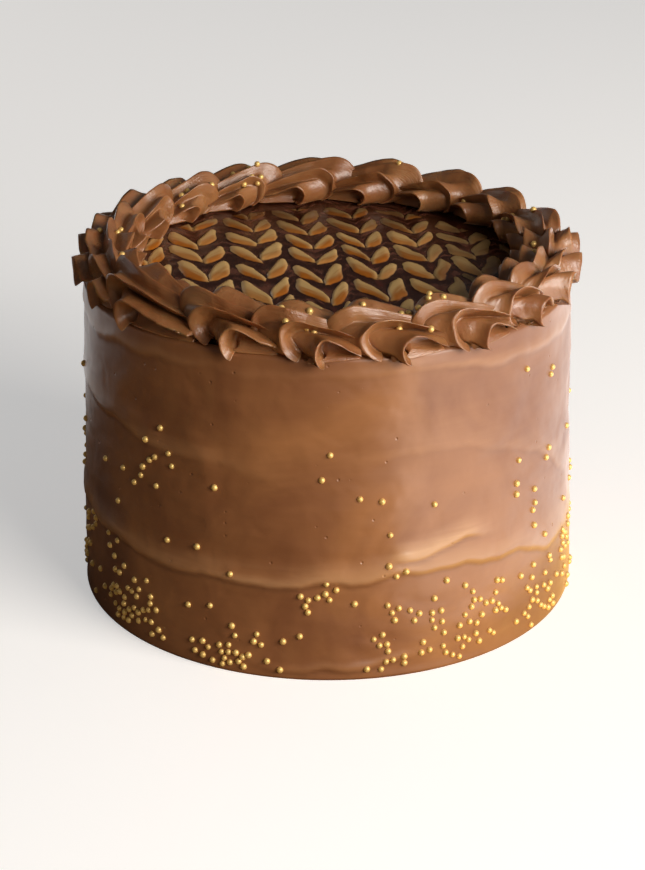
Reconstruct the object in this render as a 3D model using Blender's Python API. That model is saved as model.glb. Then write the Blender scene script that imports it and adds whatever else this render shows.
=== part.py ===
"""Chocolate caramel cake: a tall frosted tier, a poured ganache top and a border of piped shells.

The cake stands on Z = 0 with its axis on Z. The tier and the top are turned profiles. Each shell of
the border is a star-shaped ribbon of buttercream: it starts under its own head, rolls up and over,
and is pulled away anticlockwise into a tail that the next shell's head covers.
"""

import math
import random

import bmesh
import bpy
from mathutils import Vector

MM = 0.001

# The tier: a frosted cake, a little narrower at the top.
BASE_RADIUS = 99.0 * MM
TOP_RADIUS = 94.6 * MM
TIER_HEIGHT = 128.0 * MM
TOP_EDGE_ROUND = 1.5 * MM
BOTTOM_EDGE_ROUND = 1.0 * MM
TURN_SEGMENTS = 64

# The poured top, which reaches almost to the tier's edge under the border.
GANACHE_RADIUS = 91.8 * MM
GANACHE_THICKNESS = 1.2 * MM
GANACHE_EDGE_ROUND = 0.6 * MM

# Clearance between pieces that touch.
GAP = 0.3 * MM

# The border. For each shell: the compass bearing of its crown, its size, the turn of its star in
# degrees (negative turns it outwards) and how far it stands out from the ring in millimetres. They
# are uneven, as piping by hand leaves them.
RING_RADIUS = 84.5 * MM
PIPED_SHELLS = (
    (9, 1.00, 2, 0.0), (29, 0.97, -3, 0.0), (48, 1.02, 0, 0.5), (68, 1.05, 3, 0.0),
    (88, 1.03, -2, 0.0), (109, 0.99, 2, 0.0), (127, 0.96, -4, 0.0), (145, 1.03, 1, 0.0),
    (161, 0.97, -2, 0.5), (177, 1.02, 3, 0.5), (193, 0.98, -2, 0.0), (208, 1.04, -2, 0.0),
    (237, 1.02, -2, 0.0), (257, 0.97, -9, 2.5), (275, 1.00, -9, 2.5), (294, 0.97, -12, 3.0),
    (312, 1.00, -5, 1.0), (327, 1.03, 0, 0.0), (341, 0.98, 3, 0.0), (355, 1.02, -2, 0.5),
)

# The star section of a shell at its crown, measured round a centre above the floor. The marks are
# the angles of the inner foot, of the ridges and of the outer foot. A valley lies between every
# two marks, as deep as the share of the section given for it.
SECTION_HALF_WIDTH = 14.6 * MM
SECTION_CENTER = 5.8 * MM
SECTION_RISE = 10.8 * MM
FOOT_ANGLE = math.radians(38)
SECTION_MARKS = (218, 166, 128, 88, 52, 14, -38)
VALLEY_DEPTHS = (0.31, 0.34, 0.23, 0.30, 0.42, 0.34)
HEAD_VALLEY_SHARE = 0.7
LAST_COLUMN = 2 * len(SECTION_MARKS) - 2
TOP_VALLEY_COLUMN = 5
INNER_FOOT_INSET = 0.30
OUTER_FOOT_INSET = 0.12

# The head: the turn from under it up to the crown, how far it bulges, and how much narrower it
# starts on its inner and outer side. It has its full width at HEAD_FULL_TRAVEL, and its feet keep
# theirs up to HEAD_FULL_RISE.
HEAD_ROLL = math.radians(155)
HEAD_BULGE = 1.12
HEAD_INNER_WIDTH = 0.80
HEAD_OUTER_WIDTH = 0.95
HEAD_FULL_TRAVEL = 0.77
HEAD_FULL_RISE = 0.25

# The ridges low on either side start further along than the ones on top. A valley starts almost
# level with the higher ridge beside it, so that ridge ends in a lip.
FAN_LENGTH = 20.0 * MM
FAN_CURVE = 1.8
LIP_SHARE = 0.135

# The tail: its height and width at its end, as shares of the crown's, and how late each one shrinks.
TAIL_HEIGHT = 0.42
TAIL_INNER_WIDTH = 0.50
TAIL_OUTER_WIDTH = 0.84
TAIL_HEIGHT_CURVE = 1.3
TAIL_WIDTH_CURVE = 1.5
TAIL_OVERLAP = 3.0 * MM

# Rows of points along a shell, and how far along the next shell trims this one's tail.
HEAD_STATIONS = 6
TAIL_STATIONS = 3
TRIM_TRAVEL = 1.5

# Sugar balls, each sunk by a share of its diameter.
BALL_DIAMETER = 2.2 * MM
BALL_SINK = 0.30
BALL_SIDES = 6
BALL_RINGS = 3

# On the side they lie thick near the foot: the larger the falloff, the fewer higher up.
SIDE_BALL_COUNT = 115
SIDE_BALL_FALLOFF = 1.9
SIDE_BALL_SEED = 21
CLUSTER_SHARE = 0.45
CLUSTER_SPACING = 2.25 * MM
BALL_SPACING = 2.2 * MM
BALL_CLEAR_OF_EDGE = 4.0 * MM

# On the border they lie on the crowns of the shells.
BORDER_BALL_COUNT = 26
BORDER_BALL_SEED = 5
CROWN_MARKS = (2, 3, 4)
CROWN_TRAVEL = (0.8, 1.3)

BUTTERCREAM_COLOR = (0.19, 0.075, 0.03)
BUTTERCREAM_ROUGHNESS = 0.42
GANACHE_COLOR = (0.42, 0.17, 0.03)
GANACHE_ROUGHNESS = 0.25


def smooth_step(value):
    """Ease from 0 to 1."""
    value = min(max(value, 0.0), 1.0)
    return value * value * (3.0 - 2.0 * value)


def mix(start, end, share):
    return start + (end - start) * share


def make_material(name, color, roughness):
    material = bpy.data.materials.new(name)
    material.use_nodes = True
    shader = material.node_tree.nodes["Principled BSDF"]
    shader.inputs["Base Color"].default_value = (*color, 1.0)
    shader.inputs["Roughness"].default_value = roughness
    return material


def object_from_bmesh(name, shape, material):
    mesh = bpy.data.meshes.new(name)
    shape.to_mesh(mesh)
    shape.free()
    mesh.materials.append(material)
    item = bpy.data.objects.new(name, mesh)
    bpy.context.scene.collection.objects.link(item)
    return item


# ---------------------------------------------------------------- turned pieces

def turned(name, profile, material):
    """A solid turned about Z from (radius, height) points, bottom to top; both ends are on the axis."""
    shape = bmesh.new()
    bottom = shape.verts.new((0.0, 0.0, profile[0][1]))
    top = shape.verts.new((0.0, 0.0, profile[-1][1]))
    rings = []
    for radius, height in profile:
        ring = []
        for step in range(TURN_SEGMENTS):
            turn = math.tau * step / TURN_SEGMENTS
            ring.append(shape.verts.new((radius * math.cos(turn), radius * math.sin(turn), height)))
        rings.append(ring)
    for step in range(TURN_SEGMENTS):
        after = (step + 1) % TURN_SEGMENTS
        shape.faces.new((bottom, rings[0][after], rings[0][step]))
        shape.faces.new((top, rings[-1][step], rings[-1][after]))
        for lower, upper in zip(rings, rings[1:]):
            shape.faces.new((lower[step], lower[after], upper[after], upper[step]))
    bmesh.ops.recalc_face_normals(shape, faces=shape.faces)
    return object_from_bmesh(name, shape, material)


def edged_profile(low_radius, low, high_radius, high, low_edge, high_edge):
    """Side profile from the bottom face to the top face, with a cut low edge and a rounded high one."""
    shoulder = high_edge * (1 - math.sqrt(0.5))
    return [
        (low_radius - low_edge, low),
        (low_radius, low + low_edge),
        (high_radius, high - high_edge),
        (high_radius - shoulder, high - shoulder),
        (high_radius - high_edge, high),
    ]


def make_tier(material):
    profile = edged_profile(BASE_RADIUS, 0.0, TOP_RADIUS, TIER_HEIGHT, BOTTOM_EDGE_ROUND, TOP_EDGE_ROUND)
    return turned("frosted_tier", profile, material)


def make_ganache(material):
    low = TIER_HEIGHT + GAP
    profile = [
        (GANACHE_RADIUS, low),
        (GANACHE_RADIUS, low + GANACHE_THICKNESS - GANACHE_EDGE_ROUND),
        (GANACHE_RADIUS - GANACHE_EDGE_ROUND, low + GANACHE_THICKNESS),
    ]
    return turned("ganache_top", profile, material)


# ---------------------------------------------------------------- piped shells

BORDER_FLOOR = TIER_HEIGHT + GAP + GANACHE_THICKNESS + GAP


def piped_shells():
    """Crown bearing, length to the next crown, size, star turn and ring radius of every shell."""
    shells = []
    for index, (bearing, size, star_turn, out) in enumerate(PIPED_SHELLS):
        following = PIPED_SHELLS[(index + 1) % len(PIPED_SHELLS)][0]
        radius = RING_RADIUS + out * MM
        length = math.radians((following - bearing) % 360) * radius
        shells.append((math.radians(bearing), length, size, math.radians(star_turn), radius))
    return shells


def shell_stations(tail_end=2.0):
    """Travel values along a shell: 0 under the head, 1 at the crown, 2 at the end of the tail."""
    head = [step / (HEAD_STATIONS - 1) for step in range(HEAD_STATIONS)]
    tail = [1.0 + (step + 1) / TAIL_STATIONS for step in range(TAIL_STATIONS)]
    return head + [travel for travel in tail if travel <= tail_end]


def star_section(column, travel, star_turn):
    """Sideways, height and start of one column of the section, from the inner foot to the outer foot.

    Even columns are the marks of the section, odd ones the valleys between them.
    """
    mark, valley = divmod(column, 2)
    around = start = SECTION_MARKS[mark]
    flute = 1.0
    if valley:
        around = (SECTION_MARKS[mark] + SECTION_MARKS[mark + 1]) / 2
        if column == TOP_VALLEY_COLUMN:
            start = around
        elif column < TOP_VALLEY_COLUMN:
            start = mix(SECTION_MARKS[mark + 1], SECTION_MARKS[mark], LIP_SHARE)
        else:
            start = mix(SECTION_MARKS[mark], SECTION_MARKS[mark + 1], LIP_SHARE)
        flute -= VALLEY_DEPTHS[mark] * mix(HEAD_VALLEY_SHARE, 1.0, smooth_step(travel))
    if column == 0:
        flute -= INNER_FOOT_INSET
    if column == LAST_COLUMN:
        flute -= OUTER_FOOT_INSET
    turned_by = star_turn * math.sin(math.pi * column / LAST_COLUMN)
    around = math.radians(around) + turned_by
    sideways = SECTION_HALF_WIDTH * flute * math.cos(around)
    if math.sin(around) >= 0.0:
        height = SECTION_CENTER + SECTION_RISE * flute * math.sin(around)
    else:
        height = SECTION_CENTER * (1.0 + math.sin(around) / math.sin(FOOT_ANGLE))
    fan = FAN_LENGTH * abs(math.cos(math.radians(start) + turned_by)) ** FAN_CURVE
    return sideways, height, fan


def shell_point(shell, travel, column):
    """A point on a shell's skin.

    Each ridge stands on the floor as a ring as high as itself, and unrolls at the crown into a
    straight tail.
    """
    bearing, length, size, star_turn, ring = shell
    sideways, height, fan = star_section(column, travel, star_turn)
    sideways *= size
    height *= size
    if travel <= 1.0:
        rise = height / (SECTION_CENTER + SECTION_RISE)
        narrowing = 1.0 - smooth_step(travel / HEAD_FULL_TRAVEL)
        head_width = HEAD_OUTER_WIDTH if sideways > 0.0 else HEAD_INNER_WIDTH
        sideways *= 1.0 - (1.0 - head_width) * narrowing * smooth_step(rise / HEAD_FULL_RISE)
        roll = HEAD_ROLL * (1.0 - travel)
        along = fan - HEAD_BULGE * height / 2 * math.sin(roll)
        height = height / 2 * (1.0 + math.cos(roll))
    else:
        pull = travel - 1.0
        tail_width = TAIL_OUTER_WIDTH if sideways > 0.0 else TAIL_INNER_WIDTH
        sideways *= 1.0 - (1.0 - tail_width) * pull ** TAIL_WIDTH_CURVE
        height *= 1.0 - (1.0 - TAIL_HEIGHT) * pull ** TAIL_HEIGHT_CURVE
        along = mix(fan, length + TAIL_OVERLAP, pull)
    radius = ring + sideways
    turn = bearing + along / ring
    return Vector((radius * math.cos(turn), radius * math.sin(turn), BORDER_FLOOR + height))


def raw_shell(name, shell, material, stations, swell=0.0):
    """The closed shell before its tail is trimmed, grown outwards by swell.

    The head's rows all share the crown's two feet.
    """
    shape = bmesh.new()
    feet = [shape.verts.new(shell_point(shell, 1.0, column)) for column in (0, LAST_COLUMN)]
    rows = []
    for travel in stations:
        row = [shape.verts.new(shell_point(shell, travel, column)) for column in range(1, LAST_COLUMN)]
        if travel > 1.0:
            feet = [shape.verts.new(shell_point(shell, travel, column)) for column in (0, LAST_COLUMN)]
        rows.append([feet[0], *row, feet[1]])
    for here, there in zip(rows, rows[1:]):
        for column in range(LAST_COLUMN):
            corners = [here[column], here[column + 1], there[column + 1], there[column]]
            shape.faces.new(list(dict.fromkeys(corners)))
        if here[0] is not there[0]:
            shape.faces.new((here[0], there[0], there[-1], here[-1]))
    shape.faces.new(rows[0])
    shape.faces.new(rows[-1])
    bmesh.ops.triangulate(shape, faces=shape.faces, quad_method="FIXED", ngon_method="EAR_CLIP")
    bmesh.ops.recalc_face_normals(shape, faces=shape.faces)
    if swell:
        shape.normal_update()
        moves = [(vert, vert.normal * vert.calc_shell_factor() * swell) for vert in shape.verts]
        for vert, move in moves:
            vert.co += move
    return object_from_bmesh(name, shape, material)


def apply_boolean(item, operation, operands, solver="EXACT"):
    """One Boolean against a collection of operands, applied; the operands are removed."""
    group = bpy.data.collections.new("operands")
    bpy.context.scene.collection.children.link(group)
    for operand in operands:
        bpy.context.scene.collection.objects.unlink(operand)
        group.objects.link(operand)
    step = item.modifiers.new("join or cut", "BOOLEAN")
    step.operation = operation
    step.solver = solver
    step.operand_type = "COLLECTION"
    step.collection = group
    bpy.context.view_layer.update()
    graph = bpy.context.evaluated_depsgraph_get()
    result = bpy.data.meshes.new_from_object(item.evaluated_get(graph))
    item.modifiers.clear()
    old = item.data
    item.data = result
    bpy.data.meshes.remove(old)
    for operand in operands:
        bpy.data.objects.remove(operand)
    bpy.data.collections.remove(group)


def keep_largest_body(item):
    """Drops loose scraps that a cut leaves behind."""
    shape = bmesh.new()
    shape.from_mesh(item.data)
    unseen = set(shape.verts)
    bodies = []
    while unseen:
        body = []
        stack = [unseen.pop()]
        while stack:
            vert = stack.pop()
            body.append(vert)
            for edge in vert.link_edges:
                other = edge.other_vert(vert)
                if other in unseen:
                    unseen.remove(other)
                    stack.append(other)
        bodies.append(body)
    bodies.sort(key=len)
    for body in bodies[:-1]:
        bmesh.ops.delete(shape, geom=body, context="VERTS")
    shape.to_mesh(item.data)
    shape.free()


# ---------------------------------------------------------------- sugar balls

def make_ball(center, outward, material):
    """A small low ball whose pole points away from the surface it sits on."""
    shape = bmesh.new()
    facing = outward.to_track_quat("Z", "Y").to_matrix().to_4x4()
    facing.translation = center
    bmesh.ops.create_uvsphere(shape, u_segments=BALL_SIDES, v_segments=BALL_RINGS,
                              radius=BALL_DIAMETER / 2, matrix=facing)
    return object_from_bmesh("ball", shape, material)


def side_ball_places():
    """Turn and height of the balls on the side: thick near the foot, thin above, often in clusters."""
    draw = random.Random(SIDE_BALL_SEED)
    places = []
    while len(places) < SIDE_BALL_COUNT:
        if places and draw.random() < CLUSTER_SHARE:
            turn, height = places[draw.randrange(len(places))]
            heading = draw.uniform(0, math.tau)
            turn += CLUSTER_SPACING * math.cos(heading) / BASE_RADIUS
            height += CLUSTER_SPACING * math.sin(heading)
        else:
            turn = draw.uniform(0, math.tau)
            height = TIER_HEIGHT * draw.random() ** SIDE_BALL_FALLOFF
        if not BALL_DIAMETER < height < TIER_HEIGHT - BALL_CLEAR_OF_EDGE:
            continue
        spans = [math.hypot((turn - other_turn) * BASE_RADIUS, height - other_height)
                 for other_turn, other_height in places]
        if not spans or min(spans) > BALL_SPACING:
            places.append((turn, height))
    return places


def side_balls(material):
    balls = []
    slope = math.atan2(BASE_RADIUS - TOP_RADIUS, TIER_HEIGHT)
    lift = BALL_DIAMETER / 2 * (1 - 2 * BALL_SINK)
    for turn, height in side_ball_places():
        radius = mix(BASE_RADIUS, TOP_RADIUS, height / TIER_HEIGHT)
        outward = Vector((math.cos(turn) * math.cos(slope), math.sin(turn) * math.cos(slope),
                          math.sin(slope)))
        foot = Vector((radius * math.cos(turn), radius * math.sin(turn), height))
        balls.append(make_ball(foot + outward * lift, outward, material))
    return balls


def border_balls(item, shell, neighbours, count, draw, material):
    """Balls on the crown of one shell, seated on its own faces and clear of the shells beside it."""
    balls = []
    lift = BALL_DIAMETER / 2 * (1 - 2 * BALL_SINK)
    reach = BALL_DIAMETER / 2 + GAP
    while len(balls) < count:
        wanted = shell_point(shell, draw.uniform(*CROWN_TRAVEL), 2 * draw.choice(CROWN_MARKS))
        _found, place, outward, _face = item.closest_point_on_mesh(wanted)
        center = place + outward * lift
        spans = [(center - other.closest_point_on_mesh(center)[1]).length for other in neighbours]
        if min(spans) > reach:
            balls.append(make_ball(center, outward, material))
    return balls


# ---------------------------------------------------------------- the cake

def build():
    for item in list(bpy.data.objects):
        bpy.data.objects.remove(item, do_unlink=True)

    buttercream = make_material("chocolate buttercream", BUTTERCREAM_COLOR, BUTTERCREAM_ROUGHNESS)
    ganache = make_material("caramel and chocolate ganache", GANACHE_COLOR, GANACHE_ROUGHNESS)

    tier = make_tier(buttercream)
    apply_boolean(tier, "UNION", side_balls(buttercream))
    make_ganache(ganache)

    shells = piped_shells()
    items = []
    for index, shell in enumerate(shells):
        item = raw_shell(f"shell_{index + 1:02d}", shell, buttercream, shell_stations())
        following = shells[(index + 1) % len(shells)]
        cutter = raw_shell("next head", following, buttercream, shell_stations(TRIM_TRAVEL), GAP)
        apply_boolean(item, "DIFFERENCE", [cutter], "MANIFOLD")
        keep_largest_body(item)
        items.append(item)

    draw = random.Random(BORDER_BALL_SEED)
    ball_counts = [0] * len(shells)
    for _ in range(BORDER_BALL_COUNT):
        ball_counts[draw.randrange(len(shells))] += 1
    for index, count in enumerate(ball_counts):
        neighbours = [items[index - 1], items[(index + 1) % len(items)]]
        if count:
            balls = border_balls(items[index], shells[index], neighbours, count, draw, buttercream)
            apply_boolean(items[index], "UNION", balls, "MANIFOLD")


build()
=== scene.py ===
# %% [markdown]
# # Chocolate caramel cake
# A tall round cake: a smooth tier of chocolate buttercream, a poured top of dark ganache feathered
# with caramel, a border of piped shells, and gold sugar balls. Everything here is dressed onto a
# plain solid model of the same cake, which the first cell loads. Lengths are metres, or millimetres
# where MM turns them into metres. +Z is up, and the viewer stands on the -Y side.

# %% Load the plain model
import math

import bmesh
import bpy
import numpy as np
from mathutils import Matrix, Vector


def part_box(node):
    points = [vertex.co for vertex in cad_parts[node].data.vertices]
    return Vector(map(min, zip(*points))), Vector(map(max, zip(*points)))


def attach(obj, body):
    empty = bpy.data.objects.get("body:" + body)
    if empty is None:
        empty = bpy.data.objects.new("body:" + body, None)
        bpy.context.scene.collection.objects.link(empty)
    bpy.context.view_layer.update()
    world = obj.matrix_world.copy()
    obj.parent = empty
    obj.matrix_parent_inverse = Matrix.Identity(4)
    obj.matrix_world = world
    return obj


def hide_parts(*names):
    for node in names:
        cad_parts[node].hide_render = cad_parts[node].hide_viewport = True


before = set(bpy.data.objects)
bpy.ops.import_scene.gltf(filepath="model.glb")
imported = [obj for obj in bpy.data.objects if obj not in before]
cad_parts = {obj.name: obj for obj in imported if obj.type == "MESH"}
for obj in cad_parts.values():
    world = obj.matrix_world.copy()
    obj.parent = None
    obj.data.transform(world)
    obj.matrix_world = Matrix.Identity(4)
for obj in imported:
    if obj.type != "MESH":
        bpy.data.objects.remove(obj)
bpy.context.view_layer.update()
MM = 0.001
scene = bpy.context.scene

TIER_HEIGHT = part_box("frosted_tier")[1][2]
GANACHE_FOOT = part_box("ganache_top")[0][2]
print("tier", round(TIER_HEIGHT / MM, 1), "mm high, ganache starts at", round(GANACHE_FOOT / MM, 1), "mm")

# %% [markdown]
# ## The camera
# The photograph looks down on the cake by 24 degrees from a bit under a metre. A long lens keeps the sides
# of the tier almost upright, so the lens is set before anything is judged.

# %% Camera
CAMERA_PLACE = (-0.0021, -0.8438, 0.4314)
LOOKS_DOWN = 23.96
camera_data = bpy.data.cameras.new("camera")
camera_data.sensor_width = 36.0
camera_data.lens = 94.67
camera = bpy.data.objects.new("camera", camera_data)
camera.location = CAMERA_PLACE
camera.rotation_euler = (math.radians(90.0 - LOOKS_DOWN), 0.0, 0.0)
scene.collection.objects.link(camera)
scene.camera = camera
print("camera at", CAMERA_PLACE, "looks down", LOOKS_DOWN, "degrees")

# %% [markdown]
# ## Light
# One large soft light stands on the right and fairly low, so it fades round the tier to a dark left
# side. A weak one behind on the left draws a pale rim there. An area light is the soft box of a
# studio: the larger it is, the softer its shade. The Standard view keeps colours as they are mixed.

# %% Two soft boxes
def paint(hex_color):
    """Turns an sRGB colour such as "8a5f43" into the linear one, with alpha, that the shaders take."""
    shares = [int(hex_color[start:start + 2], 16) / 255 for start in (0, 2, 4)]
    return (*(s / 12.92 if s <= 0.04045 else ((s + 0.055) / 1.055) ** 2.4 for s in shares), 1.0)


def soft_box(name, place, aim, size, watts, hex_color):
    """A rectangular area light at a place, turned to what it lights."""
    data = bpy.data.lights.new(name, "AREA")
    data.shape = "RECTANGLE"
    data.size, data.size_y = size
    data.energy = watts
    data.color = paint(hex_color)[:3]
    light = bpy.data.objects.new(name, data)
    light.location = place
    light.rotation_euler = (Vector(aim) - Vector(place)).to_track_quat("-Z", "Y").to_euler()
    scene.collection.objects.link(light)
    print(name, watts, "watts")


soft_box("key_right", (1.06, -1.00, 0.66), (0.0, 0.0, 0.10), (1.2, 0.7), 32.0, "fff8f0")
soft_box("rim_left", (-0.80, 1.10, 0.50), (0.0, 0.0, 0.08), (0.7, 0.5), 0.9, "fff6ee")
scene.view_settings.view_transform = "Standard"

# %% [markdown]
# ## One helper for every node
# Materials, the room and Geometry Nodes are all trees of nodes. One helper adds a node, sets it up
# and wires it. The kinds and settings that come up most have short names, so the cells below read
# like sums: times_plus multiplies the first two values and adds the third.

# %% Short names
MATH = "ShaderNodeMath"
RANGE = "ShaderNodeMapRange"
MIX = "ShaderNodeMix"
NOISE = "ShaderNodeTexNoise"
COMBINE = "ShaderNodeCombineXYZ"
SEPARATE = "ShaderNodeSeparateXYZ"
VECTOR = "ShaderNodeVectorMath"
PLUS = {"operation": "ADD"}
MINUS = {"operation": "SUBTRACT"}
TIMES = {"operation": "MULTIPLY"}
TIMES_PLUS = {"operation": "MULTIPLY_ADD"}
COLORS = {"data_type": "RGBA"}
SMOOTH = {"interpolation_type": "SMOOTHSTEP"}
print("times_plus is", TIMES_PLUS)

# %% The node helper
def connect(tree, socket, value):
    """Sets a socket to a value, or links it to a socket; a node stands for its first output in use."""
    if isinstance(value, bpy.types.Node):
        value = next(output for output in value.outputs if output.enabled)
    if isinstance(value, bpy.types.NodeSocket):
        tree.links.new(value, socket)
    elif value is not None:
        socket.default_value = value


def add(tree, kind, *values, inputs=None, **settings):
    """Adds a node with its settings. The values go to its sockets in order, and inputs to named ones."""
    made = tree.nodes.new(kind)
    for name, value in settings.items():
        setattr(made, name, value)
    in_use = [socket for socket in made.inputs if socket.enabled]
    for socket, value in zip(in_use, values):
        connect(tree, socket, value)
    for name, value in (inputs or {}).items():
        connect(tree, made.inputs[name], value)
    return made

# %% [markdown]
# ## The room
# The room is dim, so the soft boxes do the modelling. Shiny surfaces see a little more of it: it
# pales towards the right, as beside a window, which gives the right half of the tier its satin look.
# Light Path tells a reflection from the light that the room sheds.

# %% The room
ROOM_LIGHT = 0.09
world = bpy.data.worlds.new("studio")
scene.world = world
world.use_nodes = True
tree = world.node_tree
background = tree.nodes["Background"].inputs
heading = add(tree, "ShaderNodeTexCoord").outputs["Generated"]
heading = add(tree, SEPARATE, heading).outputs["X"]
window = add(tree, RANGE, heading, 0.1, 0.7, 0.04, 0.30)
glossy = add(tree, "ShaderNodeLightPath").outputs["Is Glossy Ray"]
background["Color"].default_value = paint("ffffff")
connect(tree, background["Strength"], add(tree, MIX, glossy, ROOM_LIGHT, window))
print("room light", ROOM_LIGHT)

# %% [markdown]
# ## The floor
# The camera sees plain pale paper. A satin side also mirrors the floor, and a photographer lays dark
# cloth where the side should look rich and a reflector where it should shine. Here one sheet does
# both: reflections find it dark, with a reflector on the right, a weaker one behind, and a warm glow
# close to the foot. The light that it scatters is warm too, like the shade in the photograph.

# %% A material to fill
def new_material(name, constants):
    """A Principled material with its constant sockets set, its tree and its shader."""
    made = bpy.data.materials.new(name)
    made.use_nodes = True
    shader = made.node_tree.nodes["Principled BSDF"]
    for socket, value in constants.items():
        shader.inputs[socket].default_value = value
    print("material", name)
    return made, made.node_tree, shader

# %% Paper for the camera, cloth for reflections
paper, tree, shader = new_material("matt_white_paper", {"Roughness": 0.9})
ray = add(tree, "ShaderNodeLightPath").outputs
unseen = add(tree, MIX, ray["Is Diffuse Ray"], paint("4a4743"), paint("c4a878"), **COLORS)
seen = add(tree, MIX, ray["Is Camera Ray"], unseen, paint("f6f4f1"), **COLORS)
connect(tree, shader.inputs["Base Color"], seen)

# %% Reflectors on the floor
# The reflector on the right begins along a line that runs slanting past the cake.
PAPER_GLOW = 0.42
REFLECTOR_GLOW = 2.4
REFLECTOR_SLANT = 1.73
spot = add(tree, "ShaderNodeTexCoord").outputs["Object"]
flat = add(tree, SEPARATE, spot).outputs
slant = add(tree, MATH, flat["X"], REFLECTOR_SLANT, flat["Y"], **TIMES_PLUS)
beside = add(tree, RANGE, slant, -45 * MM, -5 * MM, 0.0, 1.0)
behind = add(tree, RANGE, flat["Y"], 120 * MM, 200 * MM, 0.0, 0.45)
white = add(tree, MATH, beside, behind, operation="MAXIMUM")
white = add(tree, MATH, white, ray["Is Glossy Ray"], **TIMES)
white = add(tree, MATH, white, REFLECTOR_GLOW, **TIMES)
glow = add(tree, MATH, ray["Is Camera Ray"], PAPER_GLOW, white, **TIMES_PLUS)
connect(tree, shader.inputs["Emission Strength"], glow)
away = add(tree, VECTOR, spot, operation="LENGTH").outputs["Value"]
near = add(tree, RANGE, away, 125 * MM, 160 * MM, 1.0, 0.0)
near = add(tree, MATH, near, ray["Is Glossy Ray"], **TIMES)
warm = add(tree, MIX, near, paint("ffffff"), paint("f2c878"), **COLORS)
connect(tree, shader.inputs["Emission Color"], warm)

bpy.ops.mesh.primitive_plane_add(size=8.0, location=(0.0, 0.0, 0.0))
floor = bpy.context.object
floor.name = "floor"
floor.data.materials.append(paper)
print("floor", [round(side, 1) for side in floor.dimensions], "m")

# %% [markdown]
# ## Scraped buttercream
# Chocolate buttercream is butter and sugar with air beaten in: milk chocolate brown, with a greasy
# satin shine where a metal scraper pressed it smooth. A Principled shader with a strong but wide
# highlight gives that. Tone and gloss drift in broad smears, and fine streaks run along the turn.
# Two attributes on the tier follow its ledges, so colour and shape agree. "shine_and_painted_sheen" makes
# the cream glossier above each ledge and paints a paler sheen there, and "painted_ledge_shade" paints a dark
# line of shade along it.

# %% Scale of a pattern
def per(size_mm):
    """The scale that makes a pattern's spots size_mm across, on coordinates in metres."""
    return 1.0 / (size_mm * MM)


print("spots of 62.5 mm need a scale of", round(per(62.5), 2))

# %% Tone of the scraped side
scraped, tree, shader = new_material("scraped_chocolate_buttercream", {
    "IOR": 1.46, "Specular IOR Level": 0.85})
place = add(tree, "ShaderNodeTexCoord").outputs["Object"]
smears = add(tree, NOISE, place, inputs={"Scale": per(62.5), "Detail": 6.0, "Distortion": 1.2})
along_turn = (per(55.56), per(55.56), per(6.25))
streaks = add(tree, "ShaderNodeMapping", place, inputs={"Scale": along_turn})
streaks = add(tree, NOISE, streaks, inputs={"Scale": 1.0, "Detail": 5.0})
shine_and_painted_sheen = add(tree, "ShaderNodeAttribute", attribute_name="shine_and_painted_sheen").outputs["Fac"]
painted_ledge_shade = add(tree, "ShaderNodeAttribute", attribute_name="painted_ledge_shade").outputs["Fac"]
tone = add(tree, MATH, streaks, 0.15, **TIMES)
tone = add(tree, MATH, smears, 0.85, tone, **TIMES_PLUS)
# Shine also pales the tone, as part of the painted sheen.
tone = add(tree, MATH, shine_and_painted_sheen, 0.14, tone, **TIMES_PLUS)
tone = add(tree, RANGE, tone, 0.36, 0.66, 0.0, 1.0)
brown = add(tree, MIX, tone, paint("7c4a27"), paint("9f6a40"), **COLORS)

# %% Painted sheen and painted shade lines of the scraped side
# Painted sheen: where there is shine, the brown is mixed towards a pale tan, as a highlight would pale it.
# The lower roughness set below is the real gloss.
painted_sheen = add(tree, RANGE, streaks, 0.40, 0.60, 0.15, 0.60)
painted_sheen = add(tree, MATH, painted_sheen, shine_and_painted_sheen, **TIMES, use_clamp=True)
with_painted_sheen = add(tree, MIX, painted_sheen, brown, paint("c4966c"), **COLORS)
# Painted shade: a dark brown line along each ledge, where its step throws shade.
painted_ledge_shade = add(tree, MATH, painted_ledge_shade, 0.3, **TIMES, use_clamp=True)
with_painted_shade = add(tree, MIX, painted_ledge_shade, with_painted_sheen, paint("4e2a14"), **COLORS)
connect(tree, shader.inputs["Base Color"], with_painted_shade)
gloss = add(tree, MATH, shine_and_painted_sheen, 0.35, smears, **TIMES_PLUS)
gloss = add(tree, RANGE, gloss, 0.35, 0.80, 0.50, 0.30)
connect(tree, shader.inputs["Roughness"], gloss)
print("smears and folds,", len(tree.nodes), "nodes")

# %% Air holes of the scraped side
# A Voronoi cell every 4 mm has one air hole at most, and most have none. Real holes are half as
# wide as the millimetre drawn here, but would not show.
cells = add(tree, "ShaderNodeTexVoronoi", place, inputs={"Scale": per(4.167)}).outputs
holes = add(tree, RANGE, cells["Distance"], 0.04, 0.16, 0.0, 1.0)
chance = add(tree, "ShaderNodeSeparateColor", cells["Color"]).outputs["Red"]
foamy = add(tree, NOISE, place, inputs={"Scale": per(45.45), "Detail": 2.0})
closed = add(tree, MATH, foamy, 0.5, chance, **TIMES_PLUS)
closed = add(tree, MATH, closed, 1.12, operation="LESS_THAN")
holes = add(tree, MATH, holes, closed, operation="MAXIMUM")
height = add(tree, MATH, streaks, 0.40, holes, **TIMES_PLUS)
bump = add(tree, "ShaderNodeBump", inputs={"Strength": 0.6, "Distance": 0.4 * MM, "Height": height})
connect(tree, shader.inputs["Normal"], bump)
print("scraped buttercream", len(tree.nodes), "nodes")

# %% [markdown]
# ## Piped buttercream
# The border is the same buttercream pressed through a star tip. It is never wiped, so its tone is
# even, a little light shines through its thin ridges, and the metal of the tip leaves fine lines
# along each ridge. Where it tore a little, it is grainy. The lines follow the attribute "pressed",
# which the shells carry along with them as they curl.

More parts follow.
